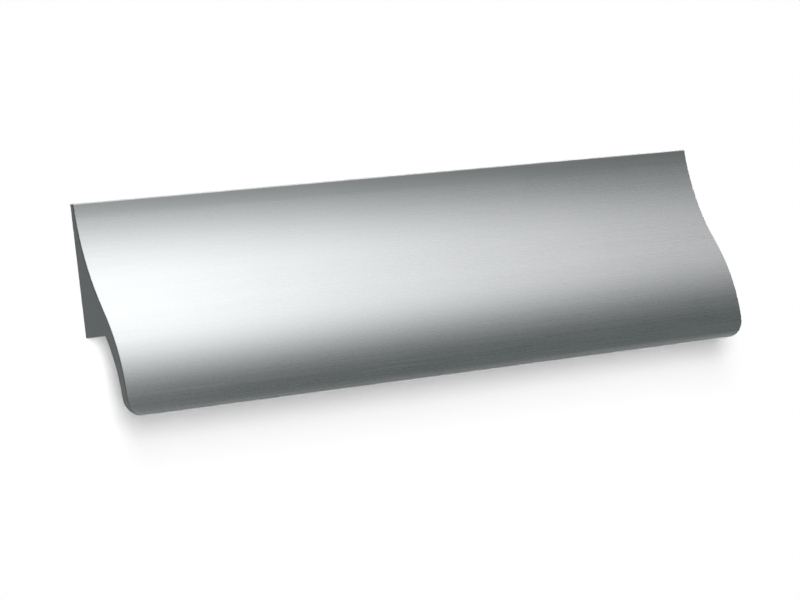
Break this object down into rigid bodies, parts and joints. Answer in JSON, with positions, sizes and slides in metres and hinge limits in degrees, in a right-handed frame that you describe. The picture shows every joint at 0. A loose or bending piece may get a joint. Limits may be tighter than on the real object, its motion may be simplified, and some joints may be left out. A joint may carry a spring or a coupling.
{
  "type": "furniture handle",
  "caption": "Aluminium profile pull handle, one solid extruded length with a curved front and a finger lip.",
  "frame": {"origin": "on the flat back, midway between the two screw holes", "axes": "+X along the handle, +Y towards its thin edge (up as mounted), +Z out of the surface that it is screwed to"},
  "size_m": [0.16, 0.0436, 0.0141],
  "materials": {
    "anodised_aluminium": "satin anodised, fine lines along the extrusion"
  },
  "bodies": {
    "root": {"handle": "anodised_aluminium"}
  },
  "joints": []
}
